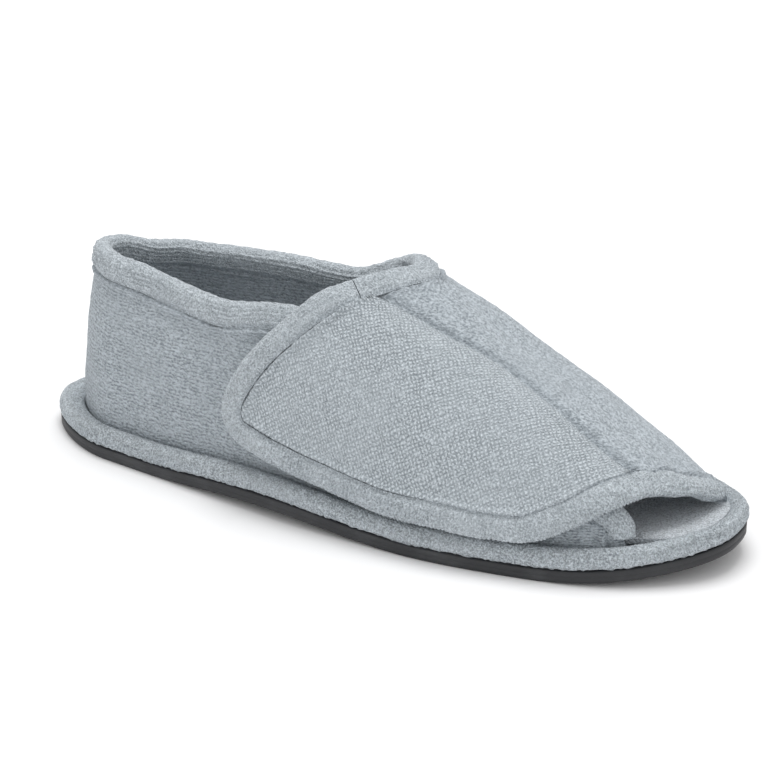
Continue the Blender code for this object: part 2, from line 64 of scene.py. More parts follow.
Array = np.ndarray
OuterSkin = Callable[[Array, Array], Array]
PlanInset = Callable[[Array, Array], Array]

OUTER, INNER = -1, 1
BODY = "root"
SHARP = math.radians(75)

# along: share of the length; outer and inner half widths: shares of the heel's width plus shares of the
# ball's
OUTLINE = np.array([
    # along, outer_heel, outer_ball, inner_heel, inner_ball
    (0.000, 0.486, 0.000, 0.236, 0.000),
    (0.110, 0.536, 0.000, 0.445, 0.000),
    (0.290, 0.310, 0.225, 0.240, 0.175),
    (0.445, 0.000, 0.505, 0.000, 0.386),
    (0.615, 0.000, 0.518, 0.000, 0.480),
    (0.750, 0.000, 0.480, 0.000, 0.480),
    (0.880, 0.000, 0.400, 0.000, 0.376),
    (1.000, 0.000, 0.287, 0.000, 0.257),
])

# Height of the last's ridge: shares of the ankle's and the instep's height; offset: the ridge in plan, as a
# share of the ball's width; fullness: 2 is an ellipse, less is leaner
RIDGE = np.array([
    # along, ankle, instep, offset, fullness
    (0.000, 1.00, 0.000, 0.020, 1.85),
    (0.123, 1.00, 0.000, 0.020, 1.85),
    (0.345, 0.95, 0.000, 0.012, 2.00),
    (0.550, 0.00, 1.000, 0.000, 2.15),
    (0.700, 0.00, 0.732, -0.012, 2.10),
    (0.850, 0.00, 0.463, -0.020, 2.10),
    (0.950, 0.00, 0.305, -0.020, 2.10),
    (1.000, 0.00, 0.244, -0.020, 2.10),
])

# The bound edge, from the rim at the outer quarter's front, up and back under the flap, round the collar
# and over the instep to the rear end of the flap's seam. foot: where the wall's column that ends here
# starts
COLLAR_EDGE = np.array([
    # along, up, foot
    (-0.900, 0.125, -0.895),
    (-0.897, 0.250, -0.895),
    (-0.885, 0.370, -0.890),
    (-0.855, 0.455, -0.870),
    (-0.795, 0.510, -0.805),
    (-0.700, 0.550, -0.700),
    (-0.580, 0.570, -0.580),
    (-0.470, 0.555, -0.470),
    (-0.388, 0.512, -0.385),
    (-0.317, 0.462, -0.315),
    (-0.240, 0.472, -0.238),
    (-0.170, 0.494, -0.170),
    (-0.080, 0.500, -0.080),
    (0.000, 0.482, 0.000),
    (0.070, 0.445, 0.070),
    (0.150, 0.434, 0.150),
    (0.240, 0.450, 0.240),
    (0.305, 0.458, 0.307),
    (0.364, 0.463, 0.372),
    (0.412, 0.485, 0.435),
    (0.456, 0.578, 0.500),
    (0.492, 0.700, 0.555),
    (0.520, 0.850, 0.615),
    (0.531, 1.000, 0.670),
    (0.519, 1.130, 0.740),
    (0.484, 1.288, 0.820),
])

# The seam between upper and flap, as the upper's side of it: up is past the ridge
SEAM = np.array([
    # along, up, foot
    (0.484, 1.288, 0.820),
    (0.550, 1.283, 0.835),
    (0.612, 1.258, 0.850),
    (0.675, 1.215, 0.870),
    (0.760, 1.227, 0.900),
    (0.855, 1.302, 0.937),
    (0.927, 1.350, 0.968),
])

# The upper's bound front edge, from the seam over the toes to the inner side of the rim
TOE_EDGE = np.array([
    # along, up
    (0.927, 1.350),
    (0.946, 1.200),
    (0.957, 1.000),
    (0.964, 0.750),
    (0.968, 0.500),
])

# The flap's bound edge, from the rear end of the seam, down its rear, along its hem and up its front to the
# seam
FLAP_EDGE = np.array([
    # along, up
    (-0.484, 0.712),
    (-0.454, 0.594),
    (-0.424, 0.490),
    (-0.391, 0.387),
    (-0.365, 0.296),
    (-0.347, 0.216),
    (-0.345, 0.160),
    (-0.362, 0.105),
    (-0.402, 0.075),
    (-0.450, 0.058),
    (-0.512, 0.047),
    (-0.594, 0.038),
    (-0.670, 0.044),
    (-0.732, 0.044),
    (-0.785, 0.072),
    (-0.816, 0.140),
    (-0.840, 0.220),
    (-0.862, 0.320),
    (-0.884, 0.424),
    (-0.904, 0.550),
    (-0.927, 0.650),
])


def blend(x: Array, xs: Array, ys: Array) -> Array:
    """Read a smooth curve through the rows of a table that never overshoots them.

    Args:
        x: Where to read it.
        xs: The rows' places, rising.
        ys: The rows' values.

    Returns:
        The value at each x.
    """
    width = np.diff(xs)
    slope = np.diff(ys) / width
    lean = np.empty(len(ys))
    lean[0], lean[-1] = slope[0], slope[-1]
    lean[1:-1] = (width[1:] * slope[:-1] + width[:-1] * slope[1:]) / (width[:-1] + width[1:])
    lean[1:-1][slope[:-1] * slope[1:] <= 0] = 0
    i = np.clip(np.searchsorted(xs, x, side="right") - 1, 0, len(xs) - 2)
    t = np.clip((x - xs[i]) / width[i], 0, 1)
    start = (1 + 2 * t) * (1 - t) ** 2 * ys[i] + t * (1 - t) ** 2 * width[i] * lean[i]
    end = t * t * (3 - 2 * t) * ys[i + 1] + t * t * (t - 1) * width[i] * lean[i + 1]
    return start + end


def ease(t: Array | float) -> Array:
    """Turn 0 to 1 into 0 to 1 with level ends."""
    t = np.clip(t, 0, 1)
    return t * t * (3 - 2 * t)


def lengths(points: Array) -> Array:
    """Measure how far along a run of points each of them is."""
    return np.concatenate([[0], np.cumsum(np.linalg.norm(np.diff(points, axis=0), axis=1))])


def unit(vectors: Array) -> Array:
    """Scale each vector to a length of one."""
    return vectors / np.maximum(np.linalg.norm(vectors, axis=-1), 1e-12)[..., None]


def softened(values: Array, reach: int) -> Array:
    """Average each row of a run with its neighbours, the ends held.

    Args:
        values: One row for each place.
        reach: How many neighbours count on each side.

    Returns:
        The averaged rows.
    """
    padded = np.concatenate([np.repeat(values[:1], reach, 0), values, np.repeat(values[-1:], reach, 0)])
    kernel = np.hanning(2 * reach + 3)[1:-1]
    kernel /= kernel.sum()
    return np.stack([np.convolve(column, kernel, "valid") for column in padded.T], 1)


class Grain:
    """Smooth seeded noise in space, for the small unevenness of cloth."""

    SIDE = 32

    def __init__(self, seed: int) -> None:
        """Fill the lattice.

        Args:
            seed: Which noise it is.
        """
        self.lattice = np.random.default_rng(seed).uniform(-1, 1, (self.SIDE,) * 3)

    def __call__(self, points: Array, size: float) -> Array:
        """Read the noise.

        Args:
            points: Where, in metres.
            size: How long one bump is, in metres.

        Returns:
            A value from -1 to 1 for each point.
        """
        place = np.asarray(points) / size
        low = np.floor(place).astype(int)
        t = ease(place - low)
        total = np.zeros(place.shape[:-1])
        for corner in np.ndindex(2, 2, 2):
            share = np.prod(np.where(corner, t, 1 - t), axis=-1)
            i, j, k = np.moveaxis((low + corner) % self.SIDE, -1, 0)
            total += share * self.lattice[i, j, k]
        return total


@dataclass(frozen=True)
class Last:
    """The surface that the whole shoe is drawn on, and the outline of its sole."""

    length: float = 0.2725
    ball_width: float = 0.101
    heel_width: float = 0.072
    instep_height: float = 0.082
    ankle_height: float = 0.104
    toe_spring: float = 0.0078
    arch_rise: float = 0.0034
    heel_round: float = 0.0375
    heel_squareness: float = 1.95
    toe_round: float = 0.0525
    toe_squareness: float = 2.5
    heel_flat: float = 0.20
    ball_flat: float = 0.635
    spring_start: float = 0.775
    heel_rest: float = 0.030
    heel_centre: float = 0.0335
    heel_ledge: float = 0.0040
    heel_ledge_reach: float = 0.0425
    rim_width: float = 0.0062
    foot_fit: float = 0.0006
    outsole_thick: float = 0.0046
    gap: float = 0.0003
    platform_seat: float = 0.0037
    foot_clear: float = 0.0007
    seam_rise: float = 0.0028
    flap_lift: float = 0.0032
    flap_wall: float = 0.0030
    hem_flare: float = 0.0014
    seam_slope: float = 0.12
    toe_slope: float = 0.16
    fan_margin: float = 0.1
    rise_start: float = 0.92
    rise_run: float = 0.3
    gentle_start: float = 0.6
    gentle_run: float = 0.3
    hem_start: float = 0.5
    hem_run: float = 0.15
    hem_top: float = 0.28
    fine: int = 400
    points_per_row: int = 40
    foot_runs: dict = field(default_factory=dict)

    def __post_init__(self) -> None:
        """Draw the wall's foot once, for the calls that read it."""
        loop = self.sole_loop(self.rim_width + self.foot_fit, self.fine)
        self.foot_runs["loop"] = loop
        self.foot_runs[OUTER] = loop[:self.fine]
        self.foot_runs[INNER] = np.concatenate([loop[self.fine - 1:], loop[:1]])[::-1]

    @property
    def seat(self) -> float:
        """Height of the seat inside the rim."""
        return self.outsole_thick + self.gap + self.platform_seat

    def outline_y(self, side: int, x: Array) -> Array:
        """Read the plan outline of the sole on one side."""
        s, outer_heel, outer_ball, inner_heel, inner_ball = OUTLINE.T
        outer = blend(x / self.length, s, outer_heel * self.heel_width + outer_ball * self.ball_width)
        inner = blend(x / self.length, s, inner_heel * self.heel_width + inner_ball * self.ball_width)
        heel = np.clip(1 - x / self.heel_round, 0, 1)
        toe = np.clip(1 - (self.length - x) / self.toe_round, 0, 1)
        share = (1 - heel**self.heel_squareness) ** (1 / self.heel_squareness)
        share = share * (1 - toe**self.toe_squareness) ** (1 / self.toe_squareness)
        return (inner - outer) / 2 + side * (inner + outer) / 2 * share

    def underside(self, x: Array) -> Array:
        """Height of the outsole's underside: flat heel, arch, flat ball, toe spring."""
        s = np.clip(x, 0, self.length) / self.length
        arch = np.sin(np.pi * np.clip((s - self.heel_flat) / (self.ball_flat - self.heel_flat), 0, 1)) ** 2
        spring = np.clip((s - self.spring_start) / (1 - self.spring_start), 0, None) ** 2
        return self.arch_rise * arch + self.toe_spring * spring

    def sole_loop(self, inset: float | PlanInset, count: int) -> Array:
        """Draw a plan loop inside the outline, heel to toe on the outer side and back on the inner side.

        Args:
            inset: How far inside the outline, or a function of the outline's x and y.
            count: How many points each side has.

        Returns:
            The loop's points, as (x, y).
        """
        x = self.length * (1 - np.cos(np.linspace(0, np.pi, count))) / 2
        outer = np.stack([x, self.outline_y(OUTER, x)], 1)
        inner = np.stack([x, self.outline_y(INNER, x)], 1)[::-1][1:-1]
        loop = np.concatenate([outer, inner])
        tangent = unit(np.roll(loop, -1, 0) - np.roll(loop, 1, 0))
        inward = np.stack([-tangent[:, 1], tangent[:, 0]], 1)
        depth = inset(loop[:, 0], loop[:, 1]) if callable(inset) else inset
        at_heel = np.clip(1 - loop[:, 0] / self.heel_ledge_reach, 0, 1) ** 2
        ledge = self.heel_ledge * at_heel * np.clip(depth / self.rim_width, 0, 1) ** 2
        return loop + inward * np.atleast_1d(depth + ledge)[:, None]

    def foot_y(self, side: int, x: Array) -> Array:
        """Plan place of the wall's foot on one side."""
        run = self.foot_runs[side]
        order = np.argsort(run[:, 0])
        return np.interp(x, run[order, 0], run[order, 1])

    def foot_reach(self, side: int, turn: Array) -> Array:
        """Distance of the wall's foot from the heel's centre, at a turn from straight back."""
        centre_y = blend(np.array(self.heel_centre / self.length), RIDGE[:, 0], RIDGE[:, 3]) * self.ball_width
        arm = self.foot_runs["loop"] - np.array([self.heel_centre, centre_y])
        arm = arm[arm[:, 0] < self.fan_margin * self.heel_centre]
        angle = np.arctan2(side * arm[:, 1], -arm[:, 0])
        order = np.argsort(angle)
        return np.interp(turn, angle[order], np.hypot(arm[:, 0], arm[:, 1])[order])

    def point(self, along: Array, up: Array) -> Array:
        """Find points of the last.

        Args:
            along: Distance from the back of the heel, negative on the outer side.
            up: Share of the section's side, past 1 on the other side.

        Returns:
            The points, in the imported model's frame.
        """
        along, up = np.broadcast_arrays(np.asarray(along, float), np.asarray(up, float))
        past = up > 1
        side = np.where(past, -np.sign(along), np.sign(along))
        side = np.where(side == 0, OUTER, side)
        rise = np.where(past, 2 - up, up)
        reach = np.abs(along)
        x0 = np.maximum(reach, self.heel_centre)
        share = x0 / self.length
        y0 = blend(share, RIDGE[:, 0], RIDGE[:, 3]) * self.ball_width
        turn = np.clip(reach / self.heel_centre, 0, 1) * np.pi / 2
        in_fan = reach < self.heel_centre
        straight = np.where(side == OUTER, y0 - self.foot_y(OUTER, x0), self.foot_y(INNER, x0) - y0)
        fanned = np.where(side == OUTER, self.foot_reach(OUTER, turn), self.foot_reach(INNER, turn))
        width = np.where(in_fan, fanned, straight)
        dx = np.where(in_fan, -np.cos(turn), 0.0)
        dy = side * np.where(in_fan, np.sin(turn), 1.0)
        foot = self.underside(x0 + dx * width) + self.seat + self.foot_clear
        top = blend(share, RIDGE[:, 0], RIDGE[:, 1] * self.ankle_height + RIDGE[:, 2] * self.instep_height)
        fullness = blend(share, RIDGE[:, 0], RIDGE[:, 4])
        angle = np.clip(rise, 0, 1) * np.pi / 2
        out, lift = np.clip(np.cos(angle), 0, 1), np.clip(np.sin(angle), 0, 1)
        size = (out**fullness + lift**fullness) ** (-1 / fullness)
        out, lift = out * size, lift * size
        x = x0 + dx * width * out - self.heel_rest
        return np.stack([x, y0 + dy * width * out, foot + (top - foot) * lift], -1)

    def slopes(self, along: Array, up: Array) -> tuple[Array, Array, Array]:
        """Find the last's change along, its change up and its outward normal."""
        step, turn = 0.0003, 0.003
        by_along = (self.point(along + step, up) - self.point(along - step, up)) / (2 * step)
        low, high = np.maximum(up - turn, 0), up + turn
        by_up = (self.point(along, high) - self.point(along, low)) / (high - low)[..., None]
        return by_along, by_up, unit(np.cross(by_up, by_along))

    def skin(self, along: Array, up: Array, out: OuterSkin) -> tuple[Array, Array]:
        """Find the points of a skin that stands off the last, and their normals."""
        _, _, normal = self.slopes(along, up)
        return self.point(along, up) + normal * out(along, up)[..., None], normal

    def upper_out(self, along: Array, up: Array) -> Array:
        """How far the upper's outside stands off the last: it rises past the ridge, towards the seam."""
        return self.seam_rise * ease((up - self.rise_start) / self.rise_run) + 0 * along

    def seam_up(self, along: Array) -> Array:
        """The flap's side of the seam, as up on the outer side."""
        return 2 - blend(np.abs(along) / self.length, SEAM[:, 0], SEAM[:, 1])

    def flap_out(self, along: Array, up: Array) -> Array:
        """How far the flap's outside stands off the last: level with the seam, then clear of the quarter."""
        share = np.abs(along) / self.length
        slope = self.seam_slope + self.toe_slope * ease((share - self.gentle_start) / self.gentle_run)
        drop = ease((self.seam_up(along) - up) / slope)
        hem = ease((self.hem_top - up) / self.hem_top) * ease((share - self.hem_start) / self.hem_run)
        full = self.flap_lift + self.flap_wall
        return self.seam_rise + (full - self.seam_rise) * drop + self.hem_flare * hem

    def tape_out(self, along: Array, up: Array) -> Array:
        """How far the upper's tapes stand off the last: on the flap where they reach past the seam."""
        on_flap = (along > 0) & (up > 1) & (2 - up < self.seam_up(along))
        return np.where(on_flap, self.flap_out(-along, 2 - up), self.upper_out(along, up))

    def run(self, rows: Array, count: int, out: OuterSkin) -> Array:
        """Draw a smooth run through a table's rows.

        Args:
            rows: along and any foot as shares of the length, up as it is.
            count: How many evenly spaced points it gets.
            out: How far off the last the run lies.

        Returns:
            along in metres, up, and any foot in metres, a row for each point.
        """
        knots = rows * (self.length, 1, self.length)[:rows.shape[1]]
        reach = lengths(self.point(knots[:, 0], knots[:, 1]))
        lean = np.gradient(knots, reach, axis=0)
        fine = np.linspace(0, reach[-1], self.points_per_row * len(rows))
        i = np.clip(np.searchsorted(reach, fine, side="right") - 1, 0, len(rows) - 2)
        span = (reach[i + 1] - reach[i])[:, None]
        t = (fine - reach[i])[:, None] / span
        way = (1 + 2 * t) * (1 - t) ** 2 * knots[i] + t * (1 - t) ** 2 * span * lean[i]
        way += t * t * (3 - 2 * t) * knots[i + 1] + t * t * (t - 1) * span * lean[i + 1]
        way[:, 1] = np.maximum(way[:, 1], 0)
        reach = lengths(self.skin(way[:, 0], way[:, 1], out)[0])
        even = np.linspace(0, reach[-1], count)
        return np.stack([np.interp(even, reach, column) for column in way.T], 1)

    def stepped(self, path: Array, inward: Array, depth: Array | float) -> Array:
        """Move places of the last across it.

        Args:
            path: along and up, a row for each place.
            inward: The direction to go in, a unit vector for each place.
            depth: How far to go.

        Returns:
            The moved places, as along and up.
        """
        by_along, by_up, _ = self.slopes(path[:, 0], path[:, 1])
        move = inward * np.broadcast_to(depth, len(path))[:, None]
        aa, uu = np.sum(by_along**2, 1), np.sum(by_up**2, 1)
        au, ma, mu = np.sum(by_along * by_up, 1), np.sum(move * by_along, 1), np.sum(move * by_up, 1)
        size = aa * uu - au**2
        moved = path.copy()
        moved[:, 0] += (ma * uu - mu * au) / size
        moved[:, 1] = np.maximum(moved[:, 1] + (mu * aa - ma * au) / size, 0)
        return moved


@dataclass
class EdgeRun:
    """One bound edge: its places on the last and in space, the way in from it, and how far along each is."""

    path: Array
    place: Array
    inward: Array
    reach: Array


class BoundEdges:
    """The three bound edges as one run, so that their tapes meet closely at the seam's two ends."""

    COUNTS = {"collar": 1500, "flap": 1200, "toe": 190}
    NORMAL_REACH = 6
    PLACE_REACH = 8

    def __init__(self, last: Last) -> None:
        """Draw the runs.

        Args:
            last: The surface that they lie on.
        """
        tables = {"collar": (COLLAR_EDGE[:, :2], last.upper_out), "flap": (FLAP_EDGE, last.flap_out),
                  "toe": (TOE_EDGE, last.upper_out)}
        paths, places, normals = [], [], []
        for name, (rows, out) in tables.items():
            path = last.run(rows, self.COUNTS[name], out)
            place, normal = last.skin(path[:, 0], path[:, 1], out)
            paths.append(path)
            normals.append(normal)
            places.append(place)
        place = np.concatenate(places)
        normal = unit(softened(np.concatenate(normals), self.NORMAL_REACH))
        tangent = np.gradient(softened(place, self.PLACE_REACH), axis=0)
        tangent = unit(tangent - normal * np.sum(tangent * normal, axis=1)[:, None])
        inward = unit(softened(np.cross(normal, tangent), self.NORMAL_REACH))
        reach = lengths(place)
        self.runs: dict[str, EdgeRun] = {}
        start = 0
        for name, path in zip(tables, paths):
            part = slice(start, start + len(path))
            self.runs[name] = EdgeRun(path, place[part], inward[part], reach[part])
            start += len(path)

    def tree(self, *names: str) -> tuple[KDTree, Array]:
        """Index the points of the named runs, for distances to an edge, with how far along it each one is."""
        points = np.concatenate([self.runs[name].place for name in names])
        return indexed(points), np.concatenate([self.runs[name].reach for name in names])


def indexed(points: Array) -> KDTree:
    """Build a tree for nearest distances to points."""
    tree = KDTree(len(points))
    for i, point in enumerate(points):
        tree.insert(point, i)
    tree.balance()
    return tree


def nearest(tree: KDTree, points: Array) -> tuple[Array, Array]:
    """Find the nearest point of a tree for each point: its distance and its number."""
    found = [tree.find(point)[1:] for point in points.reshape(-1, 3)]
    number, distance = np.array(found).T
    return distance.reshape(points.shape[:-1]), number.astype(int).reshape(points.shape[:-1])


def strips(rows: int, columns: int, base: int = 0, closed: bool = False) -> Array:
    """List the quads of a grid of points.

    Args:
        rows: How many rows of points it has.
        columns: How many points each row has.
        base: The first point's number.
        closed: Whether the last column joins the first.

    Returns:
        Four point numbers for each quad.
    """
    i, j = np.meshgrid(np.arange(rows - 1), np.arange(columns if closed else columns - 1), indexing="ij")
    k = (j + 1) % columns
    quads = np.stack([i * columns + j, (i + 1) * columns + j, (i + 1) * columns + k, i * columns + k], -1)
    return base + quads.reshape(-1, 4)


def turn_out(mesh: bpy.types.Mesh) -> None:
    """Turn every face of a closed body outwards."""
    shape = bmesh.new()
    shape.from_mesh(mesh)
    bmesh.ops.recalc_face_normals(shape, faces=shape.faces)
    shape.to_mesh(mesh)
    shape.free()


def make_piece(name: str, points: Array, faces: list, cloth: Array, material: bpy.types.Material) -> bpy.types.Object:
    """Make one object of the shoe and put it on its body.

    Args:
        name: The piece's name.
        points: Its points, in metres.
        faces: Its faces, as point numbers.
        cloth: For each point, its place on the cloth, in metres, which the materials read.
        material: What it is made of.

    Returns:
        The object.
    """
    mesh = bpy.data.meshes.new(name)
    mesh.from_pydata(points.tolist(), [], faces)
    layer = mesh.attributes.new("cloth", "FLOAT_VECTOR", "POINT")
    layer.data.foreach_set("vector", np.asarray(cloth, np.float32).ravel())
    mesh.shade_smooth()
    mesh.materials.append(material)
    turn_out(mesh)
    mesh.set_sharp_from_angle(angle=SHARP)
    obj = bpy.data.objects.new(name, mesh)
    bpy.context.scene.collection.objects.link(obj)
    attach(obj, BODY)
    log.info("%s: %d faces", name, len(faces))
    return obj


class Wire:
    """A shader socket that adds its own Math nodes when it meets an operator."""

    def __init__(self, nodes: "NodeBench", socket: bpy.types.NodeSocket) -> None:
        """Wrap a socket of the bench's material."""
        self.nodes = nodes
        self.socket = socket

    def _math(self, operation: str, *values: "Wire | float") -> "Wire":
        """Add a Math node on values."""
        inputs = dict(enumerate(values))
        return self.nodes.add("ShaderNodeMath", {"operation": operation}, inputs)

    def __add__(self, other: "Wire | float") -> "Wire":
        """Add."""
        return self._math("ADD", self, other)

    __radd__ = __add__

    def __sub__(self, other: "Wire | float") -> "Wire":
        """Subtract."""
        return self._math("SUBTRACT", self, other)

    def __rsub__(self, other: "Wire | float") -> "Wire":
        """Subtract from a number."""
        return self._math("SUBTRACT", other, self)

    def __mul__(self, other: "Wire | float") -> "Wire":
        """Multiply."""
        return self._math("MULTIPLY", self, other)

    __rmul__ = __mul__

    def sine(self) -> "Wire":
        """Take the sine."""
        return self._math("SINE", self)

    def smooth(self, low: float, high: float) -> "Wire":
        """Turn low to high into 0 to 1 with level ends."""
        settings = {"interpolation_type": "SMOOTHSTEP"}
        return self.nodes.add("ShaderNodeMapRange", settings, {
            "Value": self, "From Min": low, "From Max": high})


class NodeBench:
    """The nodes of one material, added through one method."""

    def __init__(self, name: str) -> None:
        """Start a material with its Principled BSDF."""
        self.material = bpy.data.materials.new(name)
        self.material.use_nodes = True
        self.tree = self.material.node_tree
        self.shader = self.tree.nodes["Principled BSDF"]

    def add(self, kind: str, settings: dict, inputs: dict, output: int | str = 0) -> Wire:
        """Add a node.

        Args:
            kind: The node's type.
            settings: Its own settings, which are set first.
            inputs: The value or the wire for each socket, by name or number.
            output: Which of its sockets comes back.

        Returns:
            The output, wrapped.
        """
        node = self.tree.nodes.new(kind)
        for key, value in settings.items():
            setattr(node, key, value)
        for key, value in inputs.items():
            self.feed(node.inputs[key], value)
        return Wire(self, node.outputs[output])

    def feed(self, socket: bpy.types.NodeSocket, value: object) -> None:
        """Give a socket its value or its link."""
        if isinstance(value, Wire):
            self.tree.links.new(value.socket, socket)
        else:
            socket.default_value = value

    def finish(self, inputs: dict) -> bpy.types.Material:
        """Feed the Principled BSDF and hand the material over."""
        for key, value in inputs.items():
            self.feed(self.shader.inputs[key], value)
        return self.material

    def noise(self, vector: Wire, per_metre: float, detail: float = 2.0, rough: float = 0.5) -> Wire:
        """Add a noise of a given fineness."""
        return self.add("ShaderNodeTexNoise", {}, {
            "Vector": vector, "Scale": per_metre, "Detail": detail, "Roughness": rough}, "Fac")

    def mixed(self, share: Wire | float, low: tuple, high: tuple) -> Wire:
        """Mix two colours."""
        node = self.tree.nodes.new("ShaderNodeMix")
        node.data_type = "RGBA"
        self.feed(node.inputs["Factor"], share)
        self.feed(node.inputs[6], low)
        self.feed(node.inputs[7], high)
        return Wire(self, node.outputs[2])


class Weave(Enum):
    """How a terry's loops stand."""

    GRID = "loops in a grid"
    ROWS = "broken rows of loops"
    PILE = "loose pile"


@dataclass(frozen=True)
class TerryFinish:
    """Looped cotton terry, with painted shade between its loops. Lengths in metres, colours linear."""

    name: str
    weave: Weave
    # The two colours: the pile's crests, and the painted shade in its low places between the loops
    light: tuple = (0.70, 0.762, 0.81, 1)
    pile_shade: tuple = (0.25, 0.283, 0.31, 1)
    pitch: float = 0.00125
    turn: float = 0.0
    stretch: tuple = (1.0, 1.0, 1.0)
    depth: float = 0.0007
    contrast: float = 1.0
    mean: float = 0.56
    wander: float = 1.6
    wander_per_metre: float = 260.0
    fuzz_per_metre: float = 1500.0
    clumps_per_metre: float = 520.0
    patches_per_metre: float = 45.0

    def build(self) -> bpy.types.Material:
        """Make the material.

        Returns:
            The material, which reads the pieces' places on the cloth.
        """
        bench = NodeBench(self.name)
        cloth = bench.add("ShaderNodeAttribute", {"attribute_name": "cloth"}, {}, "Vector")
        place = bench.add("ShaderNodeTexCoord", {}, {}, "Object")
        drift = bench.add("ShaderNodeTexNoise", {}, {
            "Vector": place, "Scale": self.wander_per_metre, "Detail": 3.0}, "Color")
        most = self.pitch * self.wander
        shift = bench.add("ShaderNodeVectorMath", {"operation": "MULTIPLY_ADD"}, {
            0: drift, 1: (most, most, 0.0), 2: cloth})
        turned = bench.add("ShaderNodeVectorRotate", {"rotation_type": "Z_AXIS"}, {
            "Vector": shift, "Angle": self.turn})
        parts = bench.tree.nodes.new("ShaderNodeSeparateXYZ")
        bench.feed(parts.inputs[0], turned)
        across, lengthwise, rowed = (Wire(bench, socket) for socket in parts.outputs)
        turns = 2 * math.pi / self.pitch
        first = (across * turns).sine() * 0.5 + 0.5
        second = (lengthwise * turns).sine() * 0.5 + 0.5
        drawn = bench.add("ShaderNodeVectorMath", {"operation": "MULTIPLY"}, {0: place, 1: self.stretch})
        fuzz = bench.noise(drawn, self.fuzz_per_metre, 2.0, 0.6).smooth(0.25, 0.75)
        clumps = bench.noise(drawn, self.clumps_per_metre, 2.0, 0.6).smooth(0.2, 0.8)
        patches = bench.noise(place, self.patches_per_metre, 2.0).smooth(0.35, 0.65)
        height = self.loops(first, second * rowed + (1 - rowed) * 0.5, fuzz, clumps)
        # Painted shade: the pile's low places take the dark colour and its crests the light one; the patches vary
        # this at random
        shade = (height - 0.5) * (0.8 + patches * 0.4) * self.contrast + self.mean
        tone = bench.mixed(shade.smooth(0.0, 1.0), self.pile_shade, self.light)
        bump = bench.add("ShaderNodeBump", {}, {
            "Strength": 1.0, "Distance": self.depth, "Height": height}, "Normal")
        return bench.finish({
            "Base Color": tone, "Roughness": 0.92, "Normal": bump,
            "Sheen Weight": 0.2, "Sheen Roughness": 0.5,
            "Specular IOR Level": 0.2})

    def loops(self, first: Wire, second: Wire, fuzz: Wire, clumps: Wire) -> Wire:
        """Stand the loops in the finish's own way.

        Args:
            first: Waves across the cloth.
            second: Waves along it.
            fuzz: The finest noise.
            clumps: Noise of a few loops' size.

        Returns:
            The height of the pile, about 0 to 1.
        """
        if self.weave is Weave.GRID:
            return first * second * 0.75 + fuzz * 0.45 + clumps * 0.1
        if self.weave is Weave.ROWS:
            return second * 0.22 + fuzz * 0.6 + clumps * 0.18
        return clumps * 0.25 + fuzz * 0.75


@dataclass(frozen=True)
class RubberFinish:
    """Matt black moulded rubber."""

    name: str = "black_rubber"
    colour: tuple = (0.022, 0.023, 0.026, 1)
    scuffed: tuple = (0.05, 0.052, 0.056, 1)
    grit_per_metre: float = 1800.0
    scuffs_per_metre: float = 60.0
    grit_depth: float = 0.0003

    def build(self) -> bpy.types.Material:
        """Make the material."""
        bench = NodeBench(self.name)
        place = bench.add("ShaderNodeTexCoord", {}, {}, "Object")
        grit = bench.noise(place, self.grit_per_metre, 4.0, 0.65)
        scuffs = bench.noise(place, self.scuffs_per_metre, 4.0).smooth(0.45, 0.8)
        tone = bench.mixed(scuffs, self.colour, self.scuffed)
        bump = bench.add("ShaderNodeBump", {}, {
            "Strength": 0.35, "Distance": self.grit_depth, "Height": grit}, "Normal")
        return bench.finish({"Base Color": tone, "Roughness": grit * 0.2 + 0.45, "Normal": bump})


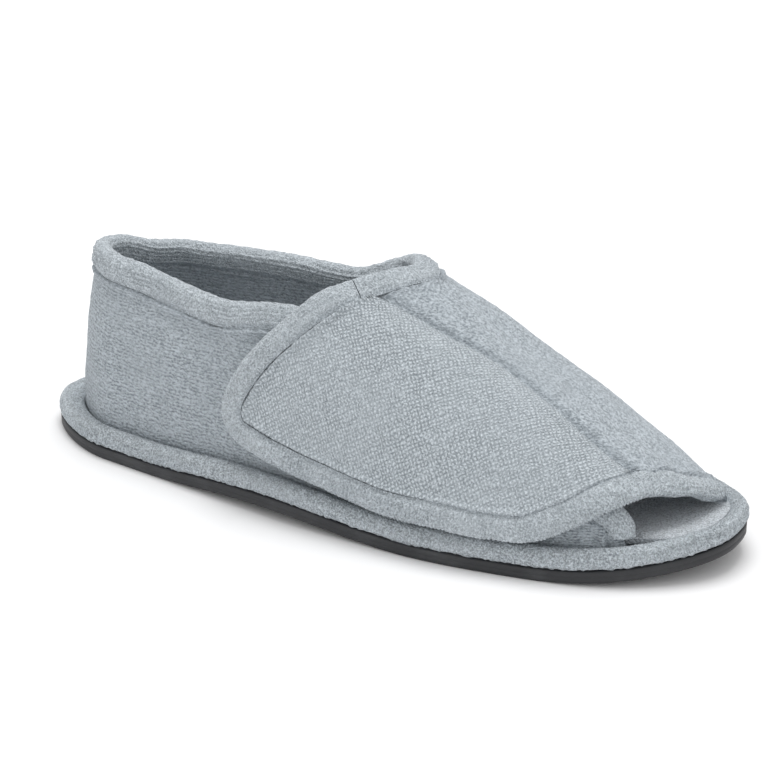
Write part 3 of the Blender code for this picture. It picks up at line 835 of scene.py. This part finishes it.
@dataclass
class Sole:
    """The outsole, the cloth-wrapped platform and the insole: lofts through plan loops. Lengths in metres."""

    last: Last
    rubber: bpy.types.Material
    rim_cloth: bpy.types.Material
    painted_light_sock_cloth: bpy.types.Material
    loop_points: int = 900
    chamfer: float = 0.0009
    rim_height: float = 0.0070
    rib_pitch: float = 0.0012
    rib_height: float = 0.0003
    ragged: float = 0.0007
    rim_rings: int = 40
    rim_pile: float = 0.00022
    rib_wander: float = 2.2
    tuft_share: float = 0.16
    insole_thick: float = 0.0026
    insole_rings: int = 30
    insole_edge: float = 0.35
    insole_edge_share: float = 0.125
    insole_narrowed: float = 0.97
    insole_shortened: float = 0.10
    upper_wall: float = 0.0034
    insole_fit: float = 0.0012
    toe_opening: float = 0.248
    tip_opening: float = 0.2615
    tip_run: float = 0.005
    insole_tuck: float = 0.0003

    def build(self) -> None:
        """Build the three pieces."""
        self.outsole()
        self.platform()
        self.insole()

    def ring(self, inset: float | PlanInset, height: float) -> Array:
        """Draw one section of a loft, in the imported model's frame."""
        loop = self.last.sole_loop(inset, self.loop_points)
        x, y = loop[:, 0], loop[:, 1]
        return np.stack([x - self.last.heel_rest, y, self.last.underside(x) + height], -1)

    def loft(self, name: str, rings: list[Array], material: bpy.types.Material) -> bpy.types.Object:
        """Join rings into a closed slab.

        Args:
            name: Its node's name.
            rings: The sections, all with the same number of points, from below to above.
            material: What it is made of.

        Returns:
            The object.
        """
        n = len(rings[0])
        points = np.concatenate(rings)
        faces = strips(len(rings), n, 0, True)[:, ::-1].tolist()
        half = self.loop_points
        for base, turn in ((0, 1), ((len(rings) - 1) * n, -1)):
            caps = [(base, base + 1, base + n - 1), (base + half - 2, base + half - 1, base + half)]
            caps += [(base + i, base + i + 1, base + n - i - 1, base + n - i) for i in range(1, half - 2)]
            faces += [cap[::-turn] for cap in caps]
        way = lengths(np.concatenate([rings[0], rings[0][:1]]))[:-1]
        across = np.cumsum([0] + [np.linalg.norm(b - a, axis=1).mean() for a, b in zip(rings, rings[1:])])
        cloth = np.stack([np.tile(way, len(rings)), np.repeat(across, n), points[:, 2]], -1)
        obj = make_piece(f"{name}_fine", points, faces, cloth, material)
        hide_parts(name)
        return obj

    def outsole(self) -> None:
        """Build the thin rubber sole, with its edge's fine mould line."""
        thick, edge = self.last.outsole_thick, self.chamfer
        rows = [(1.2 * edge, 0.0), (0.35 * edge, 0.25 * edge), (0.0, edge), (0.0, 0.5 * thick),
                (0.12 * edge, 0.54 * thick), (0.0, 0.58 * thick),
                (0.0, thick - 0.3 * edge), (0.3 * edge, thick)]
        self.loft("outsole", [self.ring(*row) for row in rows], self.rubber)

    def platform(self) -> None:
        """Build the wrapped rim: a roll of ribbed terry with a ragged lower edge, and the seat inside it."""
        last, width, height = self.last, self.last.rim_width, self.rim_height
        foot = last.outsole_thick + last.gap
        rows = np.array([
            # inset, height, as shares of the rim's width and height
            (0.30, -0.02), (0.12, 0.02), (0.02, 0.10), (-0.03, 0.20),
            (-0.06, 0.32), (-0.06, 0.44), (-0.04, 0.56),
            (0.01, 0.68), (0.08, 0.79), (0.18, 0.89), (0.31, 0.965), (0.46, 1.0), (0.62, 0.99), (0.76, 0.95),
            (0.88, 0.87), (0.97, 0.76), (1.0, 0.62), (1.0, 0.2),
        ])
        knots = np.linspace(0, 1, len(rows))
        grain, coarse = Grain(3), Grain(4)
        rings = []
        for t in np.linspace(0, 1, self.rim_rings):
            inset, lift = (np.interp(t, knots, rows[:, k]) for k in (0, 1))
            ring = self.ring(inset * width, foot + lift * height)
            way = lengths(ring)
            side = unit(self.ring(inset * width - 0.001, 0.0) - self.ring(inset * width, 0.0))
            level = float(ease((lift - 0.5) / 0.45))
            face = unit(side * (1 - level) + np.array([0, 0, 1.0]) * level)
            shown = float(ease(t / 0.12) * ease((0.9 - t) / 0.2))
            rib = np.cos(2 * np.pi * way / self.rib_pitch + self.rib_wander * coarse(ring, 0.006))
            puff = self.rib_height * rib * (0.6 + 0.4 * coarse(ring, 0.02))
            puff += self.rim_pile * grain(ring, 0.0016)
            ring = ring + face * (shown * puff)[:, None]
            if t < self.tuft_share:
                tuft = grain(ring * (1, 1, 0), 0.0011) + 0.5 * coarse(ring * (1, 1, 0), 0.004)
                ring[:, 2] -= self.ragged * np.clip(tuft, -0.2, 1.0) * float(1 - ease(t / self.tuft_share))
            rings.append(ring)
        self.loft("platform", rings, self.rim_cloth)

    def insole(self) -> None:
        """Build the terry sock: a flat pad with a rounded edge and a slightly uneven top."""
        def inset(x: Array, y: Array) -> Array:
            open_toe = ease((x - self.toe_opening) / (0.05 * self.last.length))
            open_toe = open_toe * ease(-y / (0.12 * self.last.ball_width))
            open_toe = np.maximum(open_toe, ease((x - self.tip_opening) / self.tip_run))
            closed = self.last.foot_fit + self.upper_wall + self.insole_fit
            return self.last.rim_width + closed * (1 - open_toe) - self.insole_tuck * open_toe

        base = self.last.seat + self.last.gap
        top = base + self.insole_thick
        edge = self.insole_edge * self.insole_thick
        grain = Grain(8)
        rings = [self.ring(inset, base), self.ring(inset, top - edge)]
        centre = rings[0][:, 0].mean()
        for share in np.linspace(0, 1, self.insole_rings):
            rounded = min(share / self.insole_edge_share, 1)

            def deeper(x: Array, y: Array, rounded: float = rounded) -> Array:
                return inset(x, y) + edge * rounded

            ring = self.ring(deeper, top)
            middle = np.interp(ring[:, 0], *self.middle_line(rings[0]))
            ring[:, 1] = middle + (ring[:, 1] - middle) * (1 - self.insole_narrowed * share)
            ring[:, 0] = centre + (ring[:, 0] - centre) * (1 - self.insole_shortened * share)
            ring[:, 2] = self.last.underside(ring[:, 0] + self.last.heel_rest) + top
            ring[:, 2] -= edge * (1 - rounded)
            ring[:, 2] += 0.00018 * grain(ring, 0.002) + 0.0004 * grain(ring, 0.02)
            rings.append(ring)
        self.loft("insole", rings, self.painted_light_sock_cloth)

    @staticmethod
    def middle_line(ring: Array) -> tuple[Array, Array]:
        """Find the line half way between the two sides of a ring, as its x and y."""
        x = np.linspace(ring[:, 0].min(), ring[:, 0].max(), 60)
        half = len(ring) // 2
        outer, inner = ring[:half], ring[half:][::-1]
        return x, (np.interp(x, outer[:, 0], outer[:, 1]) + np.interp(x, inner[:, 0], inner[:, 1])) / 2


@dataclass(frozen=True)
class Crease:
    """A soft trough across the cloth. Ends as (share of the length, up), width and depth in metres."""

    start: tuple[float, float]
    end: tuple[float, float]
    width: float
    depth: float


UPPER_CREASES = (
    Crease((-0.300, 0.400), (-0.335, 0.100), 0.006, 0.0009),
    Crease((-0.130, 0.380), (-0.150, 0.120), 0.008, 0.0006),
    Crease((0.300, 0.400), (0.260, 0.120), 0.007, 0.0007),
    Crease((0.560, 0.900), (0.600, 0.450), 0.009, 0.0006),
)
FLAP_CREASES = (
    Crease((-0.470, 0.500), (-0.600, 0.300), 0.008, 0.0006),
    Crease((-0.560, 0.180), (-0.780, 0.200), 0.007, 0.0005),
)


@dataclass
class Wall:
    """A wall of doubled terry on the last: what the upper and the flap share. Lengths in metres."""

    last: Last
    edges: BoundEdges
    seam_tree: KDTree
    cloth: bpy.types.Material
    wall: float
    leg: float
    out: OuterSkin
    edge_names: tuple[str, ...]
    creases: tuple[Crease, ...] = ()
    bound: float = 0.0026
    ridge_height: float = 0.0012
    ridge_width: float = 0.0009
    groove: float = 0.0008
    stitch_pitch: float = 0.0034
    seam_groove: float = 0.0011
    seam_width: float = 0.0013
    pucker: float = 0.0004
    unevenness: float = 0.0002
    waviness: float = 0.0005
    ridge_place: float = 1.7
    lip_height: float = 0.0004
    lip_place: float = 2.4
    pucker_size: float = 0.0035
    pucker_fade: float = 0.007
    seam_clear: float = 0.0006
    stitch_width: float = 0.7

    def relief(self, points: Array) -> Array:
        """Work out how far the cloth stands above its plain surface.

        Args:
            points: The plain surface's points.

        Returns:
            The rise at each point, negative in a groove.
        """
        tree, reach = self.edges.tree(*self.edge_names)
        edge, number = nearest(tree, points)
        past = edge - self.leg
        stitch = 0.5 + 0.5 * np.cos(2 * np.pi * reach[number] / self.stitch_pitch)
        off_ridge = (past - self.ridge_place * self.ridge_width) / self.ridge_width
        rise = self.ridge_height * np.exp(-off_ridge ** 2)
        deep = self.groove * (0.6 + 0.6 * stitch)
        rise -= deep * np.exp(-((past - 0.0002) / (self.stitch_width * self.ridge_width)) ** 2)
        grain, coarse = Grain(11), Grain(12)
        near_edge = np.exp(-np.clip(past, 0, None) / self.pucker_fade)
        rise += self.pucker * coarse(points, self.pucker_size) * near_edge
        seam, _ = nearest(self.seam_tree, points)
        rise -= self.seam_groove * np.exp(-(seam / self.seam_width) ** 2)
        rise += self.lip_height * np.exp(-((seam - self.lip_place * self.seam_width) / self.seam_width) ** 2)
        rise += self.unevenness * grain(points, 0.0015) + self.waviness * coarse(points, 0.016)
        for crease in self.creases:
            a, b = (self.last.point(np.array(end[0] * self.last.length), np.array(end[1]))
                    for end in (crease.start, crease.end))
            t = np.clip(((points - a) @ (b - a)) / ((b - a) @ (b - a)), 0, 1)
            away = np.linalg.norm(points - a - t[..., None] * (b - a), axis=-1)
            fade = ease(np.minimum(t, 1 - t) * 4 + 0.25)
            rise -= crease.depth * fade * np.exp(-(away / crease.width) ** 2)
        return rise

    def skins(self, along: Array, up: Array) -> tuple[Array, Array, Array]:
        """Draw the wall's two faces.

        Args:
            along: Places of its grid.
            up: The same.

        Returns:
            The outside's points, the inside's, and the cloth's places.
        """
        plain, normal = self.last.skin(along, up, self.out)
        rise = self.relief(plain)
        outside = plain + normal * rise[..., None]
        inside = plain - normal * (self.wall + 0.6 * rise * (rise > 0))[..., None]
        rows = 1 - ease((along / self.last.length - 0.42) / 0.16)
        cloth = np.stack([along, up * self.arc(along), rows], -1)
        return outside, inside, cloth

    def arc(self, along: Array) -> Array:
        """Measure the way over the last from the foot to the ridge."""
        table = np.linspace(-self.last.length, self.last.length, 161)
        rise = np.linspace(0, 1, 25)
        points = self.last.point(*np.meshgrid(table, rise, indexing="ij"))
        total = np.linalg.norm(np.diff(points, axis=1), axis=-1).sum(1)
        return np.interp(along, table, total)


class Upper(Wall):
    """The hollow upper: quarter, heel and vamp in one wall, open at the collar, at the toe and underneath."""

    corner: float = 0.33
    rows: int = 88
    crowding: float = 1.6
    collar_columns: int = 440
    toe_columns: int = 90
    seam_columns: int = 110
    bow_start: float = 0.75

    def grid(self) -> tuple[Array, Array]:
        """Lay columns from the wall's foot to the quarter's top, the collar and the seam."""
        last = self.last
        collar = self.own_edge(COLLAR_EDGE, self.collar_columns)
        toe = self.own_edge(TOE_EDGE, self.toe_columns)
        corner = int(np.argmax(collar[:, 1] > self.corner))
        seam = last.run(SEAM, self.seam_columns, self.out)
        clear = self.seam_clear
        seam = seam[(seam[:, 0] > collar[-1, 0] + clear) & (seam[:, 0] < toe[0, 0] - clear)]
        head = np.concatenate([collar[corner:], seam, [(*toe[0], SEAM[-1, 2] * last.length)]])
        start, stop = collar[0, 0], toe[-1, 0]
        foot = np.clip(head[:, 2], start, stop)
        foot[0], foot[-1] = start, stop
        rows = 1 - (1 - np.linspace(0, 1, self.rows)) ** self.crowding
        along = foot[:, None] * (1 - rows) + head[:, :1] * rows
        up = head[:, 1:2] * rows
        straight = stop + (toe[0, 0] - stop) * rows
        bowed = np.interp(rows * head[-1, 1], toe[::-1, 1], toe[::-1, 0])
        near_toe = ease((head[:, 0] / last.length - self.bow_start) / (SEAM[-1, 0] - self.bow_start))
        return along + near_toe[:, None] * (bowed - straight), up

    def own_edge(self, rows: Array, count: int) -> Array:
        """Draw the wall's own edge, inside the tape that binds it."""
        path = self.last.run(rows, count, self.out)
        place = self.last.point(path[:, 0], path[:, 1])
        _, _, normal = self.last.slopes(path[:, 0], path[:, 1])
        inward = unit(np.cross(normal, np.gradient(place, axis=0)))
        moved = self.last.stepped(path, inward, self.bound)
        seam = self.last.seam_up(moved[:, 0])
        return moved[moved[:, 1] < np.where(moved[:, 0] < 0, seam, 2 - seam)]

    def build(self) -> None:
        """Build the upper."""
        along, up = self.grid()
        outside, inside, cloth = self.skins(along, up)
        columns, rows = along.shape
        shell(self, "upper", outside, inside, cloth, columns, rows)


class WrapFlap(Wall):
    """The flap that closes over the outer quarter, sewn to the vamp at its upper side."""

    middle: tuple[float, float] = (-0.640, 0.380)
    rings: int = 94
    crowding: float = 1.45
    seam_columns: int = 100
    smallest: float = 0.012

    def build(self) -> None:
        """Build the flap as rings of points from its middle out to its edge."""
        last = self.last
        run = self.edges.runs["flap"]
        edge = last.stepped(run.path, run.inward, self.bound)
        edge = edge[edge[:, 1] < last.seam_up(edge[:, 0])][::3]
        seam = last.run(SEAM[:, :2] * (-1, -1) + (0, 2), self.seam_columns, self.out)
        clear = self.seam_clear
        seam = seam[(seam[:, 0] < edge[0, 0] - clear) & (seam[:, 0] > edge[-1, 0] + clear)]
        loop = np.concatenate([seam, edge[::-1]])
        middle = np.array(self.middle) * (last.length, 1)
        shares = 1 - (1 - np.linspace(self.smallest, 1, self.rings)) ** self.crowding
        spots = middle + (loop[None] - middle) * shares[:, None, None]
        outside, inside, cloth = self.skins(spots[..., 0], spots[..., 1])
        shell(self, "wrap_flap", outside, inside, cloth, self.rings, len(loop), True)


def shell(wall: Wall, name: str, outside: Array, inside: Array, cloth: Array, first: int, second: int,
          ringed: bool = False) -> None:
    """Close two faces of a wall into one body.

    Args:
        wall: The wall that they belong to.
        name: Its node's name.
        outside: The outer face's grid.
        inside: The inner face's grid.
        cloth: The grid's places on the cloth.
        first: How many points the grid has one way.
        second: The same the other way.
        ringed: Whether the grid is rings round a middle.
    """
    n = first * second
    points = np.concatenate([outside.reshape(-1, 3), inside.reshape(-1, 3)])
    quads = strips(first, second, 0, ringed)
    faces = np.concatenate([quads, quads[:, ::-1] + n]).tolist()
    if ringed:
        edge = (first - 1) * second + np.arange(second)
        rim = np.append(edge, edge[0])
        for base in (0, n):
            faces.append((base + np.arange(second))[::1 if base else -1].tolist())
    else:
        foot, ends = np.arange(first) * second, np.arange(second)
        rim = np.concatenate([ends, (foot + second - 1)[1:], (n - second + ends)[::-1][1:], foot[::-1][1:]])
    faces += [(a, b, b + n, a + n) for a, b in zip(rim[:-1].tolist(), rim[1:].tolist())]
    obj = make_piece(f"{name}_fine", points, faces, np.concatenate([cloth.reshape(-1, 3)] * 2), wall.cloth)
    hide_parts(name)


@dataclass
class Tape:
    """A folded terry tape along a bound edge. Lengths in metres.

    ribs lists how the ribs turn on the way: shares of the run, and 0 where they lie along the tape, 1 where
    they lie across it. start and stop are the wall and the leg of the tapes that it meets.
    """

    last: Last
    run: EdgeRun
    name: str
    wall: float
    leg: float
    out: OuterSkin
    cloth: bpy.types.Material
    ribs: tuple[tuple[float, float], ...]
    start: tuple[float, float] | None = None
    stop: tuple[float, float] | None = None
    every: int = 1
    meet: float = 0.020
    bound: float = 0.0026
    puff: float = 0.0017
    rib_pitch: float = 0.0014
    rib_count: float = 6.5
    rib_height: float = 0.00034
    fuzz: float = 0.00024
    waviness: float = 0.0004
    fold_round: float = 0.0034
    groove_width: float = 0.0020
    clear: float = 0.00005
    steps: int = 26
    crowding: float = 1.25
    fall: float = 0.10
    rib_wander: float = 2.5
    fade: float = 0.0012
    tuck: float = 0.0004
    slip: float = 0.00002

    def widths(self, reach: Array) -> tuple[Array, Array]:
        """Draw the wall and the leg along the run, blended into those of the tapes that it meets."""
        own = np.array([self.wall, self.leg])
        first, past = np.array(self.start or own), np.array(self.stop or own)
        from_start = ease((reach - reach[0]) / self.meet)[:, None]
        from_stop = ease((reach[-1] - reach) / self.meet)[:, None]
        both = own + (first - own) * (1 - from_start) + (past - own) * (1 - from_stop)
        return both[:, 0], both[:, 1]

    def thickness(self, deep: Array, wall: Array, leg: Array) -> Array:
        """Half the tape's thickness at a depth: a round fold, a soft fall, then the stitch line."""
        half = wall / 2 + self.puff
        thick = half * np.sqrt(np.clip(1 - (1 - np.clip(deep / self.fold_round, 0, 1)) ** 2, 0, 1))
        thick = thick * (1 - self.fall * ease((deep - self.fold_round) / (leg - self.fold_round)))
        flush = wall / 2 + self.clear
        sewn = ease((leg - deep) / self.groove_width)
        return np.where(deep > self.fold_round, flush + (thick - flush) * sewn, thick)

    def build(self) -> None:
        """Build the tape: a puffed roll over the edge, with its two legs sewn down."""
        step = slice(None, None, self.every)
        run, last = self.run, self.last
        path, inward, reach = run.path[step], run.inward[step], run.reach[step]
        wall, leg = self.widths(reach)
        depths = [leg * share for share in np.linspace(0, 1, self.steps) ** self.crowding]
        section = [(deep, self.thickness(deep, wall, leg)) for deep in depths[::-1]]
        section += [(deep, -self.thickness(deep, wall, leg)) for deep in depths[1:]]
        shown = len(section)
        inner, fold = wall / 2 + self.clear, self.bound - 0.0002 + 0 * leg
        tucked, slipped = leg - self.tuck, inner - self.slip
        section += [(tucked, -slipped), (fold, -inner), (fold, inner), (tucked, slipped)]
        way = (reach - reach[0]) / (reach[-1] - reach[0])
        shares = np.array(self.ribs)
        across = np.interp(way, shares[:, 0], shares[:, 1])
        grain, coarse = Grain(21), Grain(22)
        columns, cloth, wide, previous = [], [], 0.0, None
        for k, (deep, off) in enumerate(section):
            spot = last.stepped(path, inward, deep)
            _, _, face = last.slopes(spot[:, 0], spot[:, 1])
            base = last.point(spot[:, 0], spot[:, 1]) + face * (self.out(*spot.T) - wall / 2)[:, None]
            point = base + face * off[:, None]
            if k < shown:
                turn = np.clip(deep / self.fold_round, 0, 1)[:, None]
                face_out = unit(face * np.where(off < 0, -1, 1)[:, None] * turn - inward * (1 - turn))
                along, over = 2 * np.pi * deep / leg * self.rib_count, 2 * np.pi * reach / self.rib_pitch
                crosswise = np.cos(over + self.rib_wander * coarse(point, 0.008))
                lengthwise = np.cos(along + self.rib_wander * coarse(point, 0.012))
                rib = across * crosswise + (1 - across) * lengthwise
                rise = self.rib_height * rib * (0.6 + 0.5 * coarse(point, 0.009))
                rise += self.fuzz * grain(point, 0.0014) + self.waviness * coarse(point, 0.016)
                point = point + face_out * (rise * ease((leg - deep) / self.fade))[:, None]
            if previous is not None:
                wide += float(np.linalg.norm(point - previous, axis=1).mean())
            previous = point
            columns.append(point)
            cloth.append(np.stack([reach, np.full_like(reach, wide), 0 * reach], -1))
        points, cloth = np.stack(columns, 1), np.stack(cloth, 1)
        n, m = points.shape[:2]
        faces = strips(n, m, 0, True).tolist()
        faces += [tuple(range(m)), tuple((n - 1) * m + k for k in reversed(range(m)))]
        obj = make_piece(f"{self.name}_fine", points.reshape(-1, 3), faces, cloth.reshape(-1, 3), self.cloth)
        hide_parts(self.name)


@dataclass
class Studio:
    """The pale floor, the soft light and the camera at the photograph's angle. Lengths in metres."""

    camera_place: tuple[float, float, float] = (0.4986, -0.7140, 0.4066)
    aim: tuple[float, float, float] = (0.104, 0.0, 0.036)
    frame_width: float = 36.0
    lens: float = 116.5
    floor_size: float = 30.0
    world: float = 0.84
    key_power: float = 17.0
    key_size: float = 1.1
    key_place: tuple[float, float, float] = (0.1, 0.2, 1.9)

    def build(self) -> None:
        """Build the studio."""
        scene = bpy.context.scene
        scene.view_settings.view_transform = "Standard"
        self.floor()
        self.sky(scene)
        self.key()
        self.camera(scene)

    def floor(self) -> None:
        """Lay the floor."""
        mesh = bpy.data.meshes.new("floor")
        s = self.floor_size / 2
        mesh.from_pydata([(-s, -s, 0), (s, -s, 0), (s, s, 0), (-s, s, 0)], [], [(0, 1, 2, 3)])
        bench = NodeBench("floor_paper")
        mesh.materials.append(bench.finish({
            "Base Color": (0.93, 0.93, 0.935, 1), "Roughness": 0.9, "Specular IOR Level": 0.1}))
        floor = bpy.data.objects.new("floor", mesh)
        bpy.context.scene.collection.objects.link(floor)

    def sky(self, scene: bpy.types.Scene) -> None:
        """Light the scene evenly from all round."""
        world = bpy.data.worlds.new("soft_sky")
        scene.world = world
        world.use_nodes = True
        background = world.node_tree.nodes["Background"]
        background.inputs["Color"].default_value = (1, 1, 1, 1)
        background.inputs["Strength"].default_value = self.world

    def key(self) -> None:
        """Hang one large soft light above."""
        light = bpy.data.lights.new("key", "AREA")
        light.energy = self.key_power
        light.shape = "DISK"
        light.size = self.key_size
        lamp = bpy.data.objects.new("key", light)
        lamp.location = self.key_place
        lamp.rotation_mode = "QUATERNION"
        lamp.rotation_quaternion = Vector(self.key_place).to_track_quat("Z", "Y")
        bpy.context.scene.collection.objects.link(lamp)

    def camera(self, scene: bpy.types.Scene) -> None:
        """Set the camera where the photograph was taken from, turned to the one shoe and closer in."""
        data = bpy.data.cameras.new("camera")
        data.sensor_width = self.frame_width
        data.lens = self.lens
        camera = bpy.data.objects.new("camera", data)
        camera.location = self.camera_place
        camera.rotation_mode = "QUATERNION"
        camera.rotation_quaternion = (Vector(self.camera_place) - Vector(self.aim)).to_track_quat("Z", "Y")
        scene.collection.objects.link(camera)
        scene.camera = camera


def main() -> None:
    """Load the frame, build the shoe's pieces in order and set the studio."""
    logging.basicConfig(level=logging.INFO, format="%(name)s %(message)s")
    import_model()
    last = Last()
    edges = BoundEdges(last)
    seam = last.run(SEAM[:, :2], last.fine, last.upper_out)
    seam_tree = indexed(last.skin(*seam.T, last.upper_out)[0])
    # Painted shade: the same terry as the flap's, darkened so that the upper's quarter, heel and vamp look as if less
    # light fell on them
    painted_shade_tones = {"light": (0.54, 0.594, 0.64, 1), "pile_shade": (0.19, 0.218, 0.242, 1)}
    flap_cloth = TerryFinish("flap_terry", Weave.GRID, turn=0.55, pitch=0.0012).build()
    painted_shade_quarter_cloth = TerryFinish(
        "quarter_terry_painted_shade", Weave.ROWS, pitch=0.0011, stretch=(0.6, 0.6, 1.1), **painted_shade_tones).build()
    tape_cloth = TerryFinish("tape_terry", Weave.PILE, contrast=0.8).build()
    rim_cloth = TerryFinish("rim_terry", Weave.PILE).build()
    # Painted light: the same terry made lighter, standing in for the light that reaches the insole inside the toe
    # opening
    painted_light_sock_cloth = TerryFinish(
        "sock_terry_painted_light", Weave.PILE, light=(0.80, 0.85, 0.90, 1), pile_shade=(0.36, 0.39, 0.42, 1)).build()
    Sole(last, RubberFinish().build(), rim_cloth, painted_light_sock_cloth).build()
    wall, flap_wall = (0.0034, 0.0095), (0.0030, 0.0090)
    toe_wall = (wall[0], 0.0080)
    Upper(last, edges, seam_tree, painted_shade_quarter_cloth, *wall, last.upper_out, ("collar", "toe"),
          UPPER_CREASES).build()
    WrapFlap(last, edges, seam_tree, flap_cloth, *flap_wall, last.flap_out, ("flap",), FLAP_CREASES).build()
    runs = edges.runs
    Tape(last, runs["collar"], "collar_binding", *wall, last.tape_out, tape_cloth, ((0, 0), (1, 0)),
         every=2).build()
    Tape(last, runs["flap"], "flap_binding", *flap_wall, last.flap_out, tape_cloth,
         ((0, 0), (0.28, 0.1), (0.40, 1), (0.9, 1), (1, 0.6)), wall, toe_wall).build()
    Tape(last, runs["toe"], "toe_binding", *toe_wall, last.tape_out, tape_cloth,
         ((0, 0.6), (0.5, 0), (1, 0))).build()
    Studio().build()


if __name__ == "__main__":
    main()
